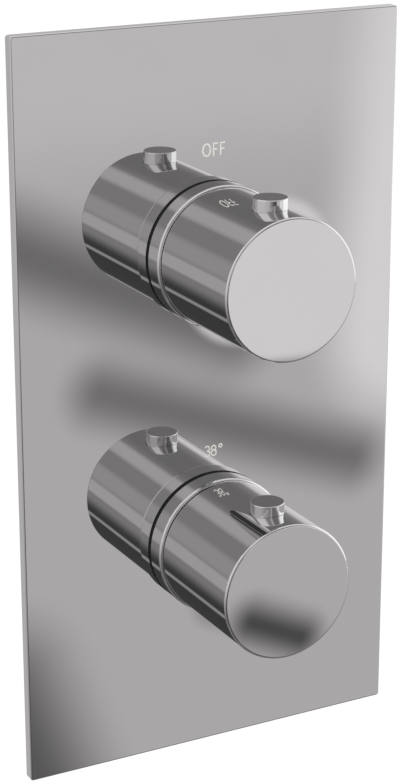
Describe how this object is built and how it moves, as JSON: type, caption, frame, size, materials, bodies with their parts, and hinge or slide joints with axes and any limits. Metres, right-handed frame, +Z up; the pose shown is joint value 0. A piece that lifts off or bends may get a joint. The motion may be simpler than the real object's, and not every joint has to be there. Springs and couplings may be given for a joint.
{
  "type": "thermostatic shower valve",
  "caption": "Concealed thermostatic shower valve: a rectangular chrome wall plate with a shut-off knob above a temperature knob, on a brass body with two inlets below and an outlet on top.",
  "frame": {"origin": "middle between the two fixing holes, on the flat back of the valve body", "axes": "+X to the right, +Y into the wall (out of the back of the body), +Z up; the knobs point along -Y"},
  "size_m": [0.11, 0.1083, 0.2],
  "materials": {
    "polished_chrome": "polished",
    "cast_brass": "matte",
    "turned_brass": "satin",
    "foam": "matte",
    "rubber": "matte",
    "spring_steel": "satin",
    "stainless": "satin",
    "ceramic": "satin",
    "black_plastic": "satin",
    "white_plastic": "matte"
  },
  "bodies": {
    "housing": {"valve_body": "cast_brass", "trim_plate": "polished_chrome", "plate_gasket": "foam", "flow_sleeve": "polished_chrome", "flow_sleeve_seal": "rubber", "flow_bonnet": "turned_brass", "flow_bonnet_oring": "rubber", "flow_stop_ring": "white_plastic", "flow_fixed_disc": "ceramic", "flow_base_seal": "rubber", "temp_sleeve": "polished_chrome", "temp_sleeve_seal": "rubber", "temp_bonnet": "turned_brass", "temp_bonnet_oring": "rubber", "temp_stop_ring": "white_plastic", "thermo_sleeve": "black_plastic", "thermo_sleeve_rings": "rubber", "thermo_end_cap": "turned_brass", "thermo_return_spring": "spring_steel", "hot_check_cage": "black_plastic", "hot_check_spring": "spring_steel", "hot_strainer": "stainless", "cold_check_cage": "black_plastic", "cold_check_spring": "spring_steel", "cold_strainer": "stainless"},
    "flow_knob": {"flow_knob": "polished_chrome", "flow_carrier": "white_plastic", "flow_carrier_screw": "stainless", "flow_grub_screw": "stainless", "flow_spindle": "turned_brass", "flow_spindle_clip": "spring_steel", "flow_spindle_oring": "rubber", "flow_button_spring": "spring_steel", "flow_moving_disc": "ceramic"},
    "flow_button": {"flow_button": "polished_chrome", "flow_stop_slide": "white_plastic"},
    "temp_knob": {"temp_knob": "polished_chrome", "temp_carrier": "white_plastic", "temp_carrier_screw": "stainless", "temp_grub_screw": "stainless", "temp_spindle": "turned_brass", "temp_spindle_clip": "spring_steel", "temp_spindle_oring": "rubber", "temp_button_spring": "spring_steel"},
    "temp_button": {"temp_button": "polished_chrome", "temp_stop_slide": "white_plastic"},
    "thermostat": {"thermo_drive_nut": "turned_brass", "thermo_overload_spring": "spring_steel", "thermo_wax_piston": "stainless", "thermo_wax_element": "turned_brass", "thermo_shuttle": "black_plastic"},
    "hot_check": {"hot_check_poppet": "black_plastic"},
    "cold_check": {"cold_check_poppet": "black_plastic"}
  },
  "joints": [
    {"name": "flow_knob_turn", "type": "hinge", "parent": "housing", "child": "flow_knob", "pos_m": [0, -0.0737, 0.04], "axis": [0, -1, 0], "range_deg": [0, 90]},
    {"name": "flow_button_press", "type": "slide", "parent": "flow_knob", "child": "flow_button", "axis": [0, 0, -1], "range_m": [0, 0.0018], "stiffness_N_per_m": 1500, "springref_m": -0.001, "deforming": ["flow_button_spring"]},
    {"name": "temp_knob_turn", "type": "hinge", "parent": "housing", "child": "temp_knob", "pos_m": [0, -0.0737, -0.04], "axis": [0, -1, 0], "range_deg": [-190, 80]},
    {"name": "temp_button_press", "type": "slide", "parent": "temp_knob", "child": "temp_button", "axis": [0, 0, -1], "range_m": [0, 0.0018], "stiffness_N_per_m": 1500, "springref_m": -0.001, "deforming": ["temp_button_spring"]},
    {"name": "thermostat_travel", "type": "slide", "parent": "housing", "child": "thermostat", "axis": [0, 1, 0], "range_m": [-0.0007, 0.00161], "deforming": ["thermo_return_spring"]},
    {"name": "hot_check_lift", "type": "slide", "parent": "housing", "child": "hot_check", "axis": [0, 0, 1], "range_m": [0, 0.003], "stiffness_N_per_m": 60, "springref_m": -0.002, "deforming": ["hot_check_spring"]},
    {"name": "cold_check_lift", "type": "slide", "parent": "housing", "child": "cold_check", "axis": [0, 0, 1], "range_m": [0, 0.003], "stiffness_N_per_m": 60, "springref_m": -0.002, "deforming": ["cold_check_spring"]}
  ],
  "couplings": [
    {"joint": "thermostat_travel", "follows": "temp_knob_turn", "m_per_rad": -0.00047746}
  ]
}
